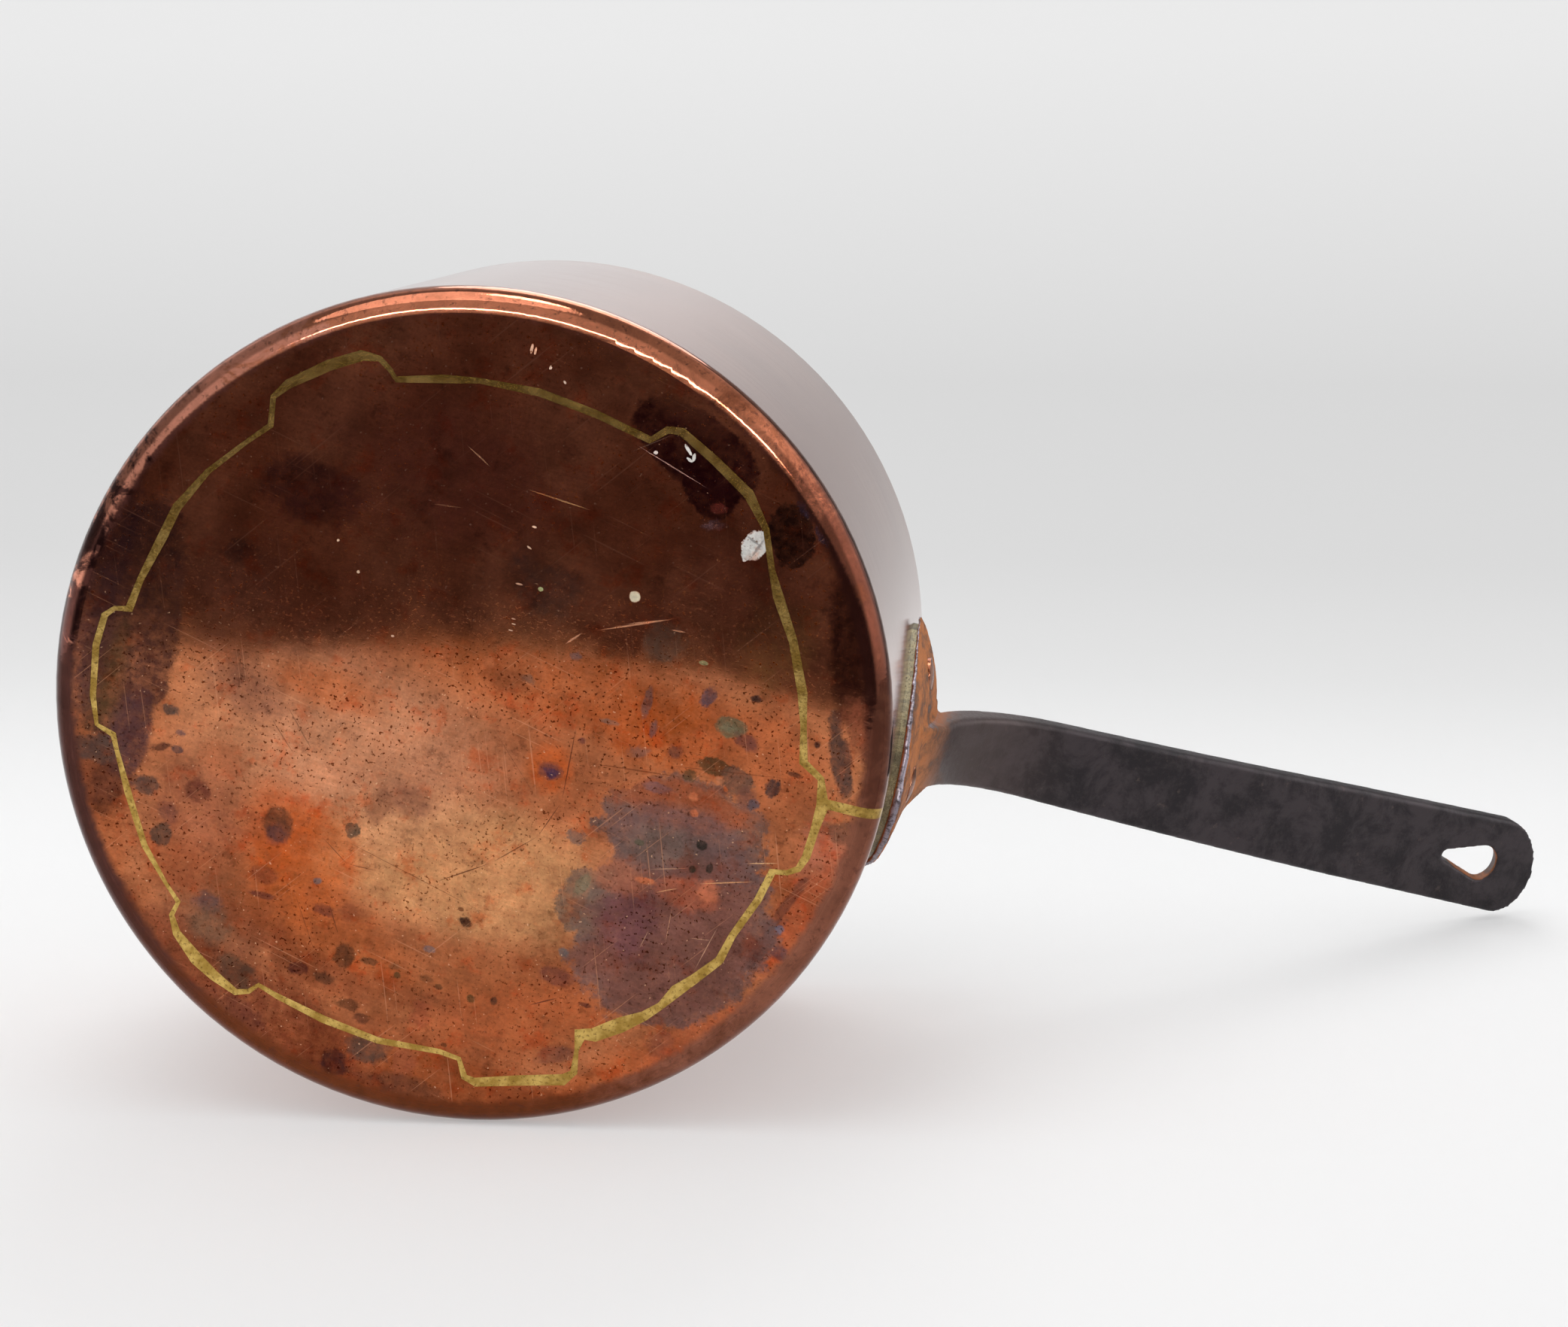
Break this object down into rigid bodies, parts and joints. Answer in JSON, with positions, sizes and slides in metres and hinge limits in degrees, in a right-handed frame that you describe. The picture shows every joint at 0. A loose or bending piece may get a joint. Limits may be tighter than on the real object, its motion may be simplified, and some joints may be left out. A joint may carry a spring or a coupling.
{
  "type": "saucepan",
  "caption": "Round straight-sided saucepan in brazed sheet copper, tinned inside, with a long riveted iron handle that rises from the wall to a rounded end with a hanging hole.",
  "frame": {"origin": "centre of the base's outer face, on the pan's axis", "axes": "+Z along the pan's axis from the base up to the rim; +X from the axis through the middle of the handle's palm; +Y completes the right-handed set"},
  "size_m": [0.392, 0.2, 0.2338],
  "materials": {
    "copper": "worn polished copper with tarnish",
    "copper_rivet": "hammered copper",
    "brass": "filed brazing brass",
    "tin": "wiped tin, dull grey",
    "iron": "black forged iron with rust at the palm"
  },
  "bodies": {
    "root": {"body_wall": "copper", "base_disc": "copper", "rivets": "copper_rivet", "base_seam_braze": "brass", "side_seam_braze": "brass", "packing_plate": "brass", "tin_lining": "tin", "handle": "iron"}
  },
  "joints": []
}
